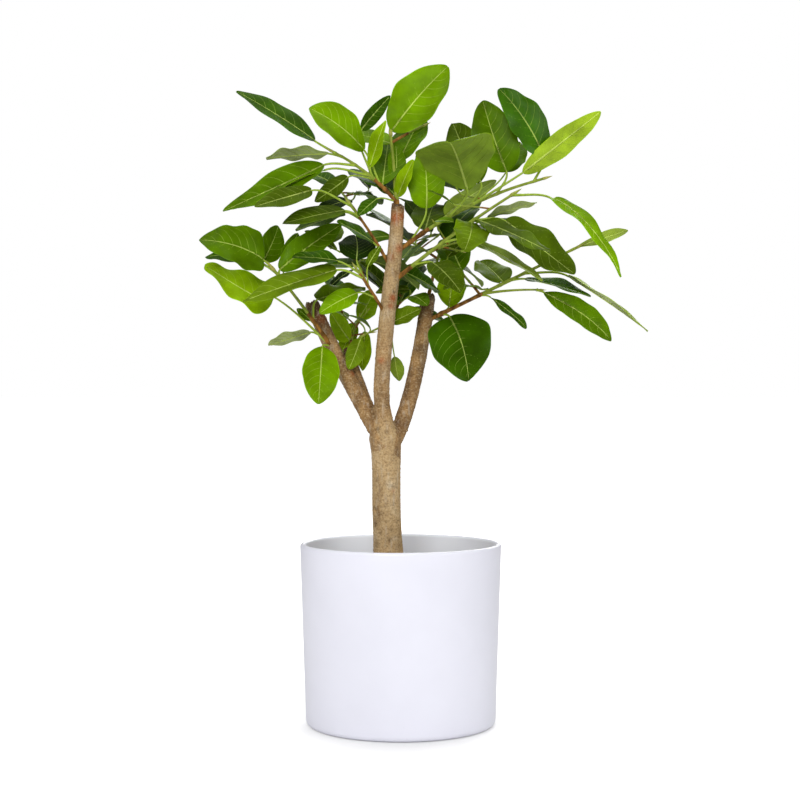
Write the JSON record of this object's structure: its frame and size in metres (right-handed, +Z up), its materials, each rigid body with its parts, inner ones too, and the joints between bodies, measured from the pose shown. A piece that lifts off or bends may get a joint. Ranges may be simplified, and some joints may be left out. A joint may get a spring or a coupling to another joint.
{
  "type": "potted banyan tree",
  "caption": "Young broad-leaved fig tree with a pruned trunk and boughs, long leafy shoots and large oval leaves, standing in a round white planter.",
  "frame": {"origin": "middle of the pot's flat underside, on the floor", "axes": "+Z up, -Y toward the viewer at the front, +X to the viewer's right"},
  "size_m": [0.5505, 0.3244, 0.8195],
  "materials": {
    "glaze": "satin white glaze",
    "soil": "loose dark potting soil",
    "bark": "rough grey-brown bark",
    "leaves_top": "glossy bright green leaves",
    "leaves_light": "satin light green leaves",
    "leaves_deep": "glossy deep green leaves"
  },
  "bodies": {
    "root": {"pot": "glaze", "soil": "soil", "trunk": "bark", "bough_left": "bark", "bough_right": "bark", "stub_left": "bark", "foliage_top": "leaves_top", "foliage_upper_left": "leaves_top", "foliage_upper_right": "leaves_top", "foliage_middle_right": "leaves_deep", "foliage_right": "leaves_deep", "foliage_left": "leaves_light", "foliage_front_left": "leaves_light", "foliage_low_left": "leaves_light", "foliage_low_back": "leaves_light", "foliage_back": "leaves_deep"}
  },
  "joints": []
}
